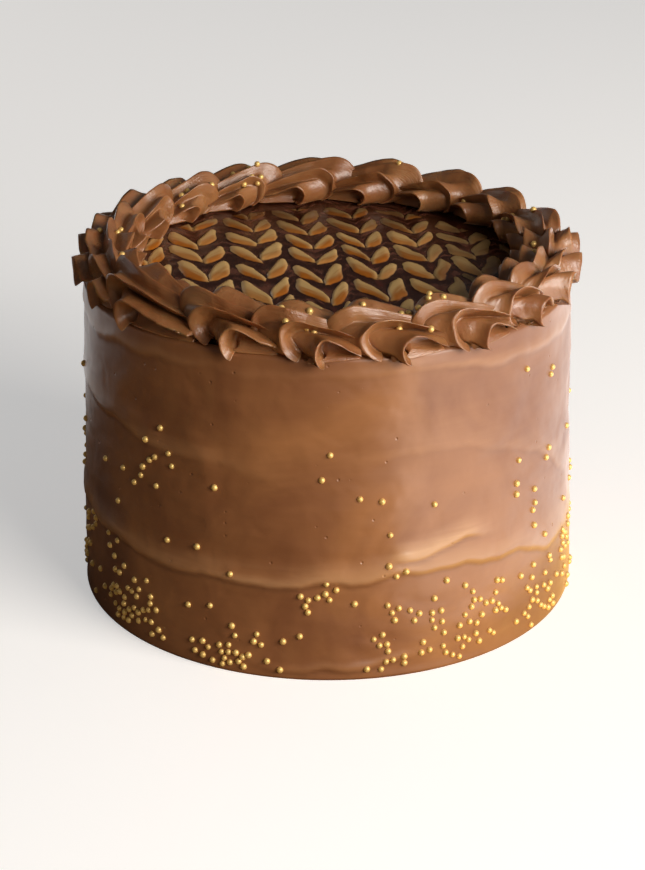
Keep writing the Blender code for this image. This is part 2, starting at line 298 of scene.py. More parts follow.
# %% Piped buttercream
piped, tree, shader = new_material("piped_chocolate_buttercream", {
    "Roughness": 0.40, "IOR": 1.46, "Specular IOR Level": 1.0,
    "Subsurface Weight": 0.25, "Subsurface Radius": (2.5 * MM, 1.2 * MM, 0.6 * MM), "Subsurface Scale": 1.0})
place = add(tree, "ShaderNodeTexCoord").outputs["Object"]
tone = add(tree, NOISE, place, inputs={"Scale": per(16.67), "Detail": 4.0})
tone = add(tree, RANGE, tone, 0.38, 0.64, 0.0, 1.0)
brown = add(tree, MIX, tone, paint("8a562e"), paint("9d6b40"), **COLORS)
connect(tree, shader.inputs["Base Color"], brown)
# Real grit is finer than a pixel, so it is drawn as coarse as it needs to be to show.
grit = add(tree, NOISE, place, inputs={"Scale": per(1.111), "Detail": 3.0})
torn = add(tree, NOISE, place, inputs={"Scale": per(18.18), "Detail": 2.0})
torn = add(tree, RANGE, torn, 0.52, 0.64, 0.10, 1.4)
lines = add(tree, "ShaderNodeAttribute", attribute_name="pressed").outputs["Vector"]
lines = add(tree, NOISE, lines, inputs={"Scale": 1.0, "Detail": 4.0})
height = add(tree, MATH, grit, torn, **TIMES)
height = add(tree, MATH, lines, 0.8, height, **TIMES_PLUS)
bump = add(tree, "ShaderNodeBump", inputs={"Strength": 0.5, "Distance": 0.6 * MM, "Height": height})
connect(tree, shader.inputs["Normal"], bump)
print("piped buttercream", len(tree.nodes), "nodes")

# %% [markdown]
# ## Running a Geometry Nodes tree
# Each shape that follows a rule is a tree with its sizes as named inputs. A modifier runs the tree,
# and what it made is kept as a plain mesh, so that nothing has to be worked out again later.

# %% A runner for the trees
def new_tree(name, sizes, on_mesh=False):
    """An empty tree with one named input for each size, and before them the mesh that it works on."""
    made = bpy.data.node_groups.new(name, "GeometryNodeTree")
    made.interface.new_socket("Geometry", in_out="OUTPUT", socket_type="NodeSocketGeometry")
    if on_mesh:
        made.interface.new_socket("Mesh", in_out="INPUT", socket_type="NodeSocketGeometry")
    for size, value in sizes.items():
        kind = "NodeSocketInt" if isinstance(value, int) else "NodeSocketFloat"
        made.interface.new_socket(size, in_out="INPUT", socket_type=kind).default_value = value
    return made


def grow(name, tree, sizes, start=None):
    """Runs a tree on a mesh, or on nothing, and keeps the result as a plain mesh."""
    item = bpy.data.objects.new(name, start or bpy.data.meshes.new(name))
    scene.collection.objects.link(item)
    step = item.modifiers.new("nodes", "NODES")
    step.node_group = tree
    for socket in tree.interface.items_tree:
        if socket.in_out == "INPUT" and socket.name in sizes:
            step[socket.identifier] = sizes[socket.name]
    graph = bpy.context.evaluated_depsgraph_get()
    result = bpy.data.meshes.new_from_object(item.evaluated_get(graph))
    item.modifiers.clear()
    item.data = result
    result.name = name
    return item

# %% [markdown]
# ## The tier
# The real side is buttercream turned smooth with a scraper. A lathe profile would be too perfect.
# So the side is a fine tube in Geometry Nodes, one metre in radius while the rule is worked out,
# then drawn in to the radius that the rule gives for each height and turn.

# %% A fine tube
tier_sizes = {
    "Base Radius": 99 * MM, "Top Radius": 94.6 * MM, "Height": TIER_HEIGHT, "Edge Round": 1.5 * MM,
    "Wave": 0.7 * MM, "Ledge": 1.3 * MM, "Ripple": 0.9 * MM}
tree = new_tree("scraped side", tier_sizes)
sizes = add(tree, "NodeGroupInput").outputs
tube = add(tree, "GeometryNodeMeshCylinder", inputs={
    "Vertices": 640, "Side Segments": 130, "Fill Segments": 6, "Radius": 1.0, "Depth": sizes["Height"]})
position = add(tree, "GeometryNodeInputPosition")
parts = add(tree, SEPARATE, position).outputs
height = add(tree, MATH, sizes["Height"], 0.5, parts["Z"], **TIMES_PLUS)
share = add(tree, MATH, height, sizes["Height"], operation="DIVIDE")
radius = add(tree, RANGE, share, 0.0, 1.0, sizes["Base Radius"], sizes["Top Radius"])
print("tube", round(TIER_HEIGHT / MM, 1), "mm high")

# %% Waves and ripples of the hand
# Height counts fourteen times, so a wave is a bit longer round the turn than up the side.
spread = add(tree, MATH, height, 14.0, **TIMES)
spread = add(tree, COMBINE, parts["X"], parts["Y"], spread)
waves = add(tree, NOISE, spread, inputs={"Scale": 1.7, "Detail": 2.0, "Distortion": 0.6})
waves = add(tree, RANGE, waves, 0.25, 0.75, -1.0, 1.0, clamp=False)
swell = add(tree, MATH, waves, sizes["Wave"], **TIMES)
ripple = add(tree, NOISE, spread, inputs={"Scale": 6.0, "Detail": 3.5, "Distortion": 0.5})
ripple = add(tree, MATH, ripple, 0.5, **MINUS)
drift = add(tree, NOISE, position, inputs={"Scale": 2.6, "Detail": 3.0})
front = add(tree, MATH, parts["Y"], -1.0, **TIMES)
turn = add(tree, MATH, parts["X"], front, operation="ARCTAN2")
turn = add(tree, RANGE, turn, -math.pi, math.pi, 0.0, 1.0)
print("waves", tier_sizes["Wave"] / MM, "mm")

# %% [markdown]
# ## Ledges of the scraper
# Where the scraper was lifted or pressed, it left a ledge: a step out, which fades away above. Six are drawn
# after the photograph. Each has a line of heights and a strength round the turn, given as curves whose share
# 0 and 1 is the back and 0.5 the front. A last number says how much glossier the cream is above the ledge,
# and how much pale sheen is painted there.

# %% A curve through a few points
def follow(tree, name, share, points, full, handle="AUTO"):
    """A curve through (share, value) points, read at share; 1 is a value of full."""
    curve = add(tree, "ShaderNodeFloatCurve", 1.0, share, name=name)
    line = curve.mapping.curves[0]
    while len(line.points) < len(points):
        line.points.new(0.5, 0.5)
    for point, (where, value) in zip(line.points, points):
        point.location = (where, value / full)
        point.handle_type = handle
    curve.mapping.update()
    return curve

# %% Where the ledges run
# Name, height in millimetres round the turn, strength round the turn, fade in millimetres, and shine: gloss
# and painted pale sheen above the ledge.
LEDGES = (
    ("low ledge",
     ((0.0, 33), (0.22, 39), (0.32, 38), (0.42, 36), (0.52, 40), (0.62, 38), (0.68, 29), (1.0, 33)),
     ((0.0, 0.5), (0.3, 0.9), (0.5, 1.0), (0.64, 0.8), (0.75, 0.3), (1.0, 0.5)), 12, 1.0),
    ("left ledge",
     ((0.0, 84), (0.30, 88), (0.39, 83), (0.44, 82), (0.50, 74), (1.0, 84)),
     ((0.0, 0.3), (0.28, 0.7), (0.36, 0.6), (0.44, 0.15), (0.52, 0.0), (0.80, 0.0), (1.0, 0.3)), 14, 1.0),
    ("right ledge",
     ((0.0, 60), (0.50, 83), (0.56, 87), (0.65, 74), (0.73, 50), (1.0, 60)),
     ((0.0, 0.4), (0.40, 0.0), (0.52, 0.05), (0.56, 0.3), (0.66, 0.35), (0.74, 0.3), (1.0, 0.4)), 16, 1.0),
    ("upper smear",
     ((0.0, 112), (0.30, 116), (0.45, 120), (0.60, 117), (0.70, 113), (1.0, 112)),
     ((0.0, 0.2), (0.35, 0.5), (0.48, 0.1), (0.60, 0.5), (0.72, 0.4), (1.0, 0.2)), 8, 1.0),
    # The wet patch has the strongest shine, so it carries the most painted sheen.
    ("wet patch",
     ((0.0, 46), (0.54, 45), (0.60, 50), (1.0, 46)),
     ((0.0, 0.0), (0.53, 0.0), (0.555, 1.0), (0.59, 0.9), (0.62, 0.0), (1.0, 0.0)), 11, 2.4),
    ("foot smear",
     ((0.0, 5), (0.50, 4), (0.60, 6), (1.0, 5)),
     ((0.0, 0.2), (0.44, 0.0), (0.47, 0.8), (0.53, 0.9), (0.56, 0.1), (1.0, 0.2)), 5, 1.0),
)
print(len(LEDGES), "ledges")

# %% Ledges in the tree
FULL_HEIGHT = 128.0
LEDGE_DRIFT = 14 * MM
STEP_WIDTH = 3 * MM
PAINTED_SHADE_WIDTH = 1.4 * MM
shine_and_painted_sheen = 0.0
painted_ledge_shade = 0.0
for name, heights, strengths, fade_mm, wet_and_painted_sheen in LEDGES:
    level = follow(tree, name + " level", turn, heights, FULL_HEIGHT, "AUTO_CLAMPED")
    amount = follow(tree, name + " amount", turn, strengths, 1.0, "AUTO_CLAMPED")
    level = add(tree, MATH, level, FULL_HEIGHT * MM, -0.5 * LEDGE_DRIFT, **TIMES_PLUS)
    level = add(tree, MATH, drift, LEDGE_DRIFT, level, **TIMES_PLUS)
    above = add(tree, MATH, height, level, **MINUS)
    step = add(tree, RANGE, above, 0.0, STEP_WIDTH, 0.0, 1.0, **SMOOTH)
    fade = add(tree, RANGE, above, 0.0, fade_mm * MM, 1.0, 0.0, **SMOOTH)
    ledge = add(tree, MATH, step, fade, **TIMES)
    ledge = add(tree, MATH, ledge, amount, **TIMES)
    swell = add(tree, MATH, ledge, sizes["Ledge"], swell, **TIMES_PLUS)
    # Shine makes the cream glossier above the ledge and paints a pale sheen there.
    shine_and_painted_sheen = add(tree, MATH, ledge, wet_and_painted_sheen, shine_and_painted_sheen, **TIMES_PLUS)
    # A line of painted shade runs along the ledge, up to 1.4 mm to each side.
    close = add(tree, MATH, above, operation="ABSOLUTE")
    close = add(tree, RANGE, close, 0.0, PAINTED_SHADE_WIDTH, 1.0, 0.0)
    painted_ledge_shade = add(tree, MATH, close, amount, painted_ledge_shade, **TIMES_PLUS)
swell = add(tree, MATH, ripple, sizes["Ripple"], swell, **TIMES_PLUS)
print("ledge curves done,", len(tree.nodes), "nodes")

# %% [markdown]
# ## Drawing the tube in
# The top edge is rounded by a power curve. Waves and ledges fade out in the last 3 mm above the
# foot, so the cake stands flat. The attributes are stored before the tube changes shape, because a
# field such as the height is worked out anew from wherever the points are at the time.

# %% The finished tier
inside_top = add(tree, MATH, sizes["Height"], height, **MINUS)
shoulder = add(tree, RANGE, inside_top, 0.0, sizes["Edge Round"], 1.0, 0.0)
shoulder = add(tree, MATH, shoulder, 2.2, operation="POWER")
shoulder = add(tree, MATH, shoulder, sizes["Edge Round"], **TIMES)
standing = add(tree, RANGE, height, 0.0, 3 * MM, 0.0, 1.0)
swell = add(tree, MATH, swell, standing, **TIMES)
swell = add(tree, MATH, swell, shoulder, **MINUS)
radius = add(tree, MATH, radius, swell, **PLUS)
wide = add(tree, COMBINE, radius, radius, 0.0)
drawn = add(tree, VECTOR, position, wide, **TIMES)
lift = add(tree, COMBINE, 0.0, 0.0, height)
drawn = add(tree, VECTOR, drawn, lift)
marked = add(tree, "GeometryNodeStoreNamedAttribute", tube, None, "shine_and_painted_sheen", shine_and_painted_sheen)
marked = add(tree, "GeometryNodeStoreNamedAttribute", marked, None, "painted_ledge_shade", painted_ledge_shade)
shaped = add(tree, "GeometryNodeSetPosition", marked, None, drawn)
real = add(tree, "GeometryNodeRealizeInstances", shaped)
colored = add(tree, "GeometryNodeSetMaterial", real, None, scraped)
add(tree, "NodeGroupOutput", add(tree, "GeometryNodeSetShadeSmooth", colored))
tier = grow("tier_frosting", tree, tier_sizes)
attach(tier, "root")
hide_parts("frosted_tier")
print("tier", len(tier.data.polygons), "faces")

# %% [markdown]
# ## The piped border
# A star tip leaves a ribbon with sharp ridges and deep valleys. For a shell the bag is held still
# until a head wells up and rolls forward over itself, then it is pulled away into a tail that the
# next head covers. A curve with a star profile would fold into itself at the head. Here each ridge
# has its own loop: it starts under the head, rolls up to the crown and runs down into the tail. One
# Geometry Nodes tree bends a flat grid by that rule. Across is 0 to 1 round the star section, and
# travel is 0 under the head, 1 at the crown and 2 at the end of the tail.

# %% A flat grid for one shell
shell_sizes = {
    "Bearing": 0.0, "Length": 30 * MM, "Size": 1.0, "Star Turn": 0.0, "Seed": 0.0,
    "Ring Radius": 84.5 * MM, "Floor": 129.8 * MM, "Half Width": 14.6 * MM, "Centre Height": 5.8 * MM,
    "Rise": 10.8 * MM, "Fan": 20 * MM, "Hang": 2.5 * MM, "Unevenness": 0.11}
TRAVEL_STEPS = 92
ACROSS_STEPS = 156
tree = new_tree("piped shell", shell_sizes)
sizes = add(tree, "NodeGroupInput").outputs
# One column more than the section needs: it comes back to across 0, which closes the underside.
grid_size = (2.0, 1.0 + 1.0 / ACROSS_STEPS)
grid = add(tree, "GeometryNodeMeshGrid", *grid_size, TRAVEL_STEPS + 1, ACROSS_STEPS + 2)
flat = add(tree, SEPARATE, add(tree, "GeometryNodeInputPosition")).outputs
travel = add(tree, MATH, flat["X"], 1.0, **PLUS)
column = add(tree, MATH, flat["Y"], 0.5 + 0.5 / ACROSS_STEPS, **PLUS)
upper = add(tree, MATH, column, 1.0 + 0.5 / ACROSS_STEPS, operation="LESS_THAN")
across = add(tree, MATH, column, upper, **TIMES)
print("grid", TRAVEL_STEPS, "by", ACROSS_STEPS)

# %% [markdown]
# ## The star section
# The section mark of a ridge is its angle round the section: 90 is straight up, 0 is outwards. The
# tip is held at a slant, so the ridges are not evenly spaced. At the start of the shell each flank
# keeps to the angle of the ridge above it, which gives the lips of the head their S-shaped folds.

# %% A hand that wavers
# The star turns a little as the bag does, and noise moves the ridges, most at the top of the bow.
bow = add(tree, MATH, across, math.pi, **TIMES)
bow = add(tree, MATH, bow, operation="SINE")
six_across = add(tree, MATH, across, 6.0, **TIMES)
slow_travel = add(tree, MATH, travel, 1.4, **TIMES)
spot = add(tree, COMBINE, six_across, slow_travel, sizes["Seed"])
waver = add(tree, NOISE, spot, inputs={"Scale": 1.0, "Detail": 1.0})
waver = add(tree, RANGE, waver, 0.25, 0.75, -1.0, 1.0)
waver = add(tree, MATH, waver, sizes["Unevenness"], **TIMES)
waver = add(tree, MATH, waver, sizes["Star Turn"], **PLUS)
waver = add(tree, MATH, waver, bow, **TIMES)
print("unevenness", shell_sizes["Unevenness"], "rad")

# %% Angles of the ridges
SECTION_MARKS = (218, 166, 128, 88, 52, 14, -38)
LOWEST, HIGHEST = -60.0, 240.0
spans = len(SECTION_MARKS) - 1
ridges = [(index / spans, mark - LOWEST) for index, mark in enumerate(SECTION_MARKS)]
starts = []
for index, (low, high) in enumerate(zip(SECTION_MARKS, SECTION_MARKS[1:])):
    starts.append((index / spans, low - LOWEST))
    if index < 2:
        starts.append(((index + 0.45) / spans, high + 0.12 * (low - high) - LOWEST))
    elif index > 2:
        starts.append(((index + 0.55) / spans, low + 0.12 * (high - low) - LOWEST))
starts.append((1.0, SECTION_MARKS[-1] - LOWEST))
angles = []
for name, marks in (("ridge angles", ridges), ("start angles", starts)):
    angle = follow(tree, name, across, marks, HIGHEST - LOWEST)
    angle = add(tree, RANGE, angle, 0.0, 1.0, LOWEST, HIGHEST)
    angle = add(tree, MATH, angle, operation="RADIANS")
    angles.append(add(tree, MATH, angle, waver, **PLUS))
angle, begin = angles
print(len(SECTION_MARKS), "ridges")

# %% Valleys between the ridges
VALLEY_DEPTHS = (0.38, 0.43, 0.38, 0.50, 0.67, 0.55)
INNER_INSET, OUTER_INSET = 0.30, 0.12
depths = [((index + 0.5) / spans, depth) for index, depth in enumerate(VALLEY_DEPTHS)]
depth = follow(tree, "valley depths", across, depths, 1)
grown = add(tree, RANGE, travel, 0.0, 0.75, 0.0, 1.0, **SMOOTH)
within = add(tree, MATH, across, float(spans), **TIMES)
within = add(tree, MATH, within, operation="FRACT")
arch = add(tree, MATH, within, math.pi, **TIMES)
arch = add(tree, MATH, arch, operation="SINE")
valley = add(tree, MATH, arch, add(tree, RANGE, grown, 0.0, 1.0, 1.6, 1.0), operation="POWER")
depth = add(tree, MATH, depth, add(tree, RANGE, grown, 0.0, 1.0, 0.90, 1.0), **TIMES)
valley = add(tree, MATH, valley, depth, **TIMES)
to_foot = add(tree, MATH, across, 0.5, **MINUS)
to_foot = add(tree, MATH, to_foot, operation="ABSOLUTE")
foot = add(tree, RANGE, to_foot, 0.5 - 1.0 / spans, 0.5, 0.0, 1.0, **SMOOTH)
inset = add(tree, RANGE, across, 0.4, 0.6, INNER_INSET, OUTER_INSET)
cut = add(tree, MATH, foot, inset, valley, **TIMES_PLUS)
flute = add(tree, MATH, 1.0, cut, **MINUS)
print("valleys", VALLEY_DEPTHS)

# %% The section's outline
FOOT_ANGLE = 38
sine = add(tree, MATH, angle, operation="SINE")
cosine = add(tree, MATH, angle, operation="COSINE")
half_width = add(tree, MATH, sizes["Half Width"], sizes["Size"], **TIMES)
sideways = add(tree, MATH, cosine, flute, **TIMES)
sideways = add(tree, MATH, sideways, half_width, **TIMES)
over = add(tree, MATH, sine, 0.0, operation="MAXIMUM")
over = add(tree, MATH, over, flute, **TIMES)
under = add(tree, MATH, sine, 0.0, operation="MINIMUM")
under = add(tree, MATH, under, 1.0 / math.sin(math.radians(FOOT_ANGLE)), 1.0, **TIMES_PLUS)
under = add(tree, MATH, under, sizes["Centre Height"], **TIMES)
height = add(tree, MATH, over, sizes["Rise"], under, **TIMES_PLUS)
height = add(tree, MATH, height, sizes["Size"], **TIMES)
print("half width", shell_sizes["Half Width"] / MM, "mm")

# %% [markdown]
# ## Head and tail
# In the head every ridge rolls by 165 degrees, from under the shell up to the crown, and bulges
# forward by about half its height. The ridges on both sides start further along, so the head opens
# like a fan. In the tail the section sinks and narrows, more on the inner side, because the ring is
# shorter there.

# %% Tucking the head in
whole = add(tree, MATH, sizes["Rise"], sizes["Centre Height"], **PLUS)
rise = add(tree, MATH, height, whole, operation="DIVIDE")
start = add(tree, RANGE, travel, 0.0, 0.77, 1.0, 0.0, **SMOOTH)
raised = add(tree, RANGE, rise, 0.0, 0.25, 0.0, 1.0, **SMOOTH)
outer = add(tree, MATH, sideways, 0.0, operation="GREATER_THAN")
tuck = add(tree, RANGE, outer, 0.0, 1.0, 0.20, 0.05)
tuck = add(tree, MATH, tuck, start, **TIMES)
tuck = add(tree, MATH, tuck, raised, **TIMES)
lowest = add(tree, MATH, 1.0, raised, **MINUS)
corner = add(tree, MATH, start, 3.0, operation="POWER")
corner = add(tree, MATH, corner, lowest, **TIMES)
tuck = add(tree, MATH, corner, 0.35, tuck, **TIMES_PLUS)
print("tuck done,", len(tree.nodes), "nodes")

# %% Rolling the head
HEAD_ROLL = math.radians(165)
HEAD_BULGE = 0.56
roll = add(tree, RANGE, travel, 0.0, 1.0, 1.0, 0.0)
roll = add(tree, MATH, roll, HEAD_ROLL, **TIMES)
fan = add(tree, MATH, begin, operation="COSINE")
fan = add(tree, MATH, fan, operation="ABSOLUTE")
fan = add(tree, MATH, fan, 1.8, operation="POWER")
fan = add(tree, MATH, fan, sizes["Fan"], **TIMES)
bulge = add(tree, MATH, roll, operation="SINE")
bulge = add(tree, MATH, bulge, -HEAD_BULGE, **TIMES)
along = add(tree, MATH, bulge, height, fan, **TIMES_PLUS)
lifted = add(tree, MATH, roll, operation="COSINE")
lifted = add(tree, MATH, lifted, 0.5, 0.5, **TIMES_PLUS)
height = add(tree, MATH, height, lifted, **TIMES)
print("head bulges by", HEAD_BULGE, "of its height")

# %% Pulling the tail
TAIL_SINKS = 0.58
INNER_NARROWS, OUTER_NARROWS = 0.50, 0.16
pull = add(tree, RANGE, travel, 1.0, 2.0, 0.0, 1.0)
sunk = add(tree, MATH, pull, 1.3, operation="POWER")
sunk = add(tree, MATH, sunk, -TAIL_SINKS, 1.0, **TIMES_PLUS)
height = add(tree, MATH, height, sunk, **TIMES)
narrow = add(tree, RANGE, outer, 0.0, 1.0, -INNER_NARROWS, -OUTER_NARROWS)
slim = add(tree, MATH, pull, 1.5, operation="POWER")
slim = add(tree, MATH, slim, narrow, 1.0, **TIMES_PLUS)
untucked = add(tree, MATH, 1.0, tuck, **MINUS)
slim = add(tree, MATH, slim, untucked, **TIMES)
sideways = add(tree, MATH, sideways, slim, **TIMES)
print("head and tail done,", len(tree.nodes), "nodes")

# %% [markdown]
# ## Laying the shell on the cake
# The first and last rows shrink to a point, which closes the ends. What is sideways on the grid
# becomes distance from the middle of the cake, and what is along it becomes a bearing. The ganache
# ends just inside the rim of the tier, so a low outer edge drops onto the rim, and what reaches past
# the rim sags over the side.

# %% Closing the ends
begun = add(tree, MATH, travel, 0.001, operation="GREATER_THAN")
running = add(tree, MATH, travel, 1.999, operation="LESS_THAN")
running = add(tree, MATH, running, begun, **TIMES)
height = add(tree, MATH, height, running, **TIMES)
sideways = add(tree, MATH, sideways, running, **TIMES)
along = add(tree, MATH, along, begun, **TIMES)
reach = add(tree, MATH, sizes["Length"], 3 * MM, **PLUS)
along = add(tree, MIX, pull, along, reach)
print("ends closed")

# %% Bending it round the ring
radius = add(tree, MATH, sizes["Ring Radius"], sideways, **PLUS)
bearing = add(tree, MATH, along, sizes["Ring Radius"], operation="DIVIDE")
bearing = add(tree, MATH, bearing, sizes["Bearing"], **PLUS)
off_ganache = add(tree, RANGE, radius, 91 * MM, 93.5 * MM, 0.0, 1.7 * MM, **SMOOTH)
low = add(tree, RANGE, height, 0.0, 8 * MM, 1.0, 0.0, **SMOOTH)
drop = add(tree, MATH, off_ganache, low, **TIMES)
past_rim = add(tree, RANGE, radius, 94.8 * MM, 98.8 * MM, 0.0, sizes["Hang"], **SMOOTH)
loose = add(tree, RANGE, height, 0.0, 10 * MM, 1.0, 0.0, **SMOOTH)
drop = add(tree, MATH, past_rim, loose, drop, **TIMES_PLUS)
x = add(tree, MATH, bearing, operation="COSINE")
x = add(tree, MATH, x, radius, **TIMES)
y = add(tree, MATH, bearing, operation="SINE")
y = add(tree, MATH, y, radius, **TIMES)
z = add(tree, MATH, height, sizes["Floor"], **PLUS)
z = add(tree, MATH, z, drop, **MINUS)
laid_place = add(tree, COMBINE, x, y, z)
print("floor of the shells", round(shell_sizes["Floor"] / MM, 1), "mm")

# %% Skin of the shell
# The grid ends up inside out, so its faces are flipped. A last shift along the normals, a fifth of a
# millimetre at most in spots of 9 mm, takes the machined look off the ridges.
LINES_ACROSS, LINES_ALONG = 110.0, 5.0
GRAIN_PER_METRE = 110.0
GRAIN_HEIGHT = 0.22 * MM
lines_x = add(tree, MATH, across, LINES_ACROSS, **TIMES)
lines_y = add(tree, MATH, travel, LINES_ALONG, **TIMES)
pressed = add(tree, COMBINE, lines_x, lines_y, sizes["Seed"])
marked = add(tree, "GeometryNodeStoreNamedAttribute", grid, None, "pressed", pressed,
             data_type="FLOAT_VECTOR")
laid = add(tree, "GeometryNodeSetPosition", marked, None, laid_place)
closed = add(tree, "GeometryNodeMergeByDistance", laid, inputs={"Distance": 0.002 * MM})
closed = add(tree, "GeometryNodeFlipFaces", closed)
grain = add(tree, NOISE, inputs={"Scale": GRAIN_PER_METRE, "Detail": 1.5})
grain = add(tree, RANGE, grain, 0.3, 0.7, -GRAIN_HEIGHT, GRAIN_HEIGHT)
normal = add(tree, "GeometryNodeInputNormal")
rough = add(tree, VECTOR, normal, inputs={"Scale": grain}, operation="SCALE")
touched = add(tree, "GeometryNodeSetPosition", closed, None, None, rough)
real = add(tree, "GeometryNodeRealizeInstances", touched)
colored = add(tree, "GeometryNodeSetMaterial", real, None, piped)
add(tree, "NodeGroupOutput", add(tree, "GeometryNodeSetShadeSmooth", colored))
shell_tree = tree
print("shell tree", len(tree.nodes), "nodes")

# %% [markdown]
# ## Twenty shells
# The shells were piped anticlockwise, and no two are alike. The ones in front are
# turned outwards and stand out more. Each is as long as the way to the next one.

# %% Twenty shells
# Bearing in degrees, size, turn of the star in degrees, millimetres out from the ring.
PIPED_SHELLS = (
    (9, 1.00, 2, 0.0), (29, 0.97, -3, 0.0), (48, 1.02, 0, 0.5), (68, 1.05, 3, 0.0),
    (88, 1.03, -2, 0.0), (109, 0.99, 2, 0.0), (127, 0.96, -4, 0.0), (145, 1.03, 1, 0.0),
    (161, 0.97, -2, 0.5), (177, 1.02, 3, 0.5), (193, 0.98, -2, 0.0), (208, 1.04, -2, 0.0),
    (237, 1.02, -2, 0.0), (257, 0.97, -9, 2.5), (275, 1.00, -9, 2.5), (294, 0.97, -12, 3.0),
    (312, 1.00, -5, 1.0), (327, 1.03, 0, 0.0), (341, 0.98, 3, 0.0), (355, 1.02, -2, 0.5),
)
SEED_STEP = 5.3
shells = []
for index, (bearing, size, star_turn, out) in enumerate(PIPED_SHELLS):
    following = PIPED_SHELLS[(index + 1) % len(PIPED_SHELLS)][0]
    here = dict(shell_sizes)
    here["Bearing"] = math.radians(bearing)
    here["Ring Radius"] += out * MM
    here["Length"] = math.radians((following - bearing) % 360) * here["Ring Radius"]
    here["Size"] = size
    here["Star Turn"] = math.radians(star_turn)
    here["Seed"] = index * SEED_STEP
    shell = grow(f"piped_shell_{index + 1:02d}", shell_tree, here)
    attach(shell, "root")
    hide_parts(f"shell_{index + 1:02d}")
    shells.append(shell)
print(len(shells), "shells")

# %% Volume of the first shell
shape = bmesh.new()
shape.from_mesh(shells[0].data)
volume = shape.calc_volume(signed=True) / MM ** 3 / 1000
print("a shell has", len(shape.faces), "faces and holds", round(volume, 2), "ml")
shape.free()

# %% [markdown]
# ## The feathered top
# Lines of soft caramel are piped over wet chocolate ganache, and a skewer is drawn through them in
# alternating directions. Each line is pulled into a zigzag of leaves: blunt where the skewer pushed
# it back, drawn to a point where it pulled it forward. The relief is under a millimetre, but it is
# real, so the rule is worked out in numpy on a fine disc, which gives both the height and the
# masks that the material reads. From here on x_mm and y_mm are millimetres on the disc.

# %% Noise and easing
def soft_noise(x, y, size, seed):
    """Smooth noise between -1 and 1 whose spots are about size across."""
    table = np.random.default_rng(seed).uniform(-1, 1, (64, 64))
    u, v = x / size + 1000.0, y / size + 1000.0
    i, j = np.floor(u).astype(int), np.floor(v).astype(int)
    f, g = u - i, v - j
    f, g = f * f * (3 - 2 * f), g * g * (3 - 2 * g)
    near = table[i % 64, j % 64] * (1 - f) + table[(i + 1) % 64, j % 64] * f
    far = table[i % 64, (j + 1) % 64] * (1 - f) + table[(i + 1) % 64, (j + 1) % 64] * f
    return near * (1 - g) + far * g


def ease(values, low, high):
    """Runs softly from 0 at low to 1 at high."""
    share = np.clip((values - low) / (high - low), 0, 1)
    return share * share * (3 - 2 * share)

# %% A fine disc
# A square grid pressed into a circle has faces of nearly one size, which a fan has not.
DISC_STEPS = 304
DISC_RADIUS = 91.2
lines = np.linspace(-1, 1, DISC_STEPS + 1)
a, b = np.meshgrid(lines, lines, indexing="ij")
wide = np.abs(a) > np.abs(b)
share = np.where(wide, a, b)
other = np.where(wide, b, a) / np.where(share == 0, 1, share) * math.pi / 4
turn = np.where(wide, other, math.pi / 2 - other)
spread = np.abs(share)
compass = np.arctan2(share * np.sin(turn), share * np.cos(turn))
rim = DISC_RADIUS + 0.9 * soft_noise(compass * 30, 0 * compass, 11.0, 4)
rim = rim + 0.4 * soft_noise(compass * 30, 0 * compass, 3.0, 5)
reach = rim * spread
x_mm, y_mm = reach * np.cos(compass), reach * np.sin(compass)
print("disc", x_mm.size, "points,", round(2 * DISC_RADIUS / DISC_STEPS, 2), "mm apart")

# %% [markdown]
# ## Leaves of caramel
# The skewer's strokes make columns, 22 mm apart, and each column holds a left and a right half
# leaf. The caramel lines make rows, 20 mm apart, which the strokes pull 15 mm towards the viewer.
# A hand is never that even: the pattern is warped, more on the right, and each leaf has its own lean
# and thickness.

# %% Columns and rows
COLUMN = 22.0
SPLIT = 0.54
ROW = 20.0
PULL = 15.0
rough = 1.15 + 0.9 * ease(x_mm, 0.0, 50.0)
warp_x = rough * (1.8 * soft_noise(x_mm, y_mm, 30.0, 11) + 0.8 * soft_noise(x_mm, y_mm, 9.0, 12))
warp_y = rough * (2.4 * soft_noise(x_mm, y_mm, 26.0, 13) + 0.9 * soft_noise(x_mm, y_mm, 9.0, 14))
columns = (x_mm + 0.14 * y_mm + warp_x + 60.0) / COLUMN
column = np.floor(columns)
in_column = columns - column
left = in_column < SPLIT
to_tip = np.where(left, in_column / SPLIT, (1 - in_column) / (1 - SPLIT))
side = 2 * column + left
chance = np.random.default_rng(8).uniform(-1, 1, (97, 97, 4))
lane = chance[side.astype(int) % 97, 0]
drawn = 1.02 * y_mm + 0.0024 * y_mm ** 2
pulled = PULL * to_tip ** np.where(left, 1.25, 1.1)
rows = (drawn + pulled + warp_y + 3.2 * lane[..., 0]) / ROW
row = np.round(rows)
own = chance[side.astype(int) % 97, row.astype(int) % 97]
print("columns", int(column.min()), "to", int(column.max()), "rows", int(row.min()), "to", int(row.max()))

# %% Outline of a leaf
# Edge is how far a point is inside its leaf, in millimetres; it is negative on the ganache.
ABOVE_MIDDLE = 8.4
BELOW_MIDDLE = 7.7
OWN_LEAN = 1.7
OWN_THICKNESS = 1.5
lean = (rows - row) * ROW + OWN_LEAN * own[..., 0]
blunt = ease(to_tip, 0.02, 0.34) ** 0.5
above = (ABOVE_MIDDLE + OWN_THICKNESS * own[..., 1]) * blunt * (1 - 0.85 * to_tip ** 3.5) + 0.01
below = (BELOW_MIDDLE + OWN_THICKNESS * own[..., 1]) * blunt * (1 - 0.70 * to_tip ** 2.6) + 0.01
across_leaf = np.where(lean > 0, lean / above, lean / below)
edge = np.where(lean > 0, above - lean, below + lean) + 0.4 * soft_noise(x_mm, y_mm, 2.4, 15)
edge = edge + 0.9 * soft_noise(x_mm, y_mm, 6.0, 26)
print("thickest", round(float(edge.max()), 1), "mm")
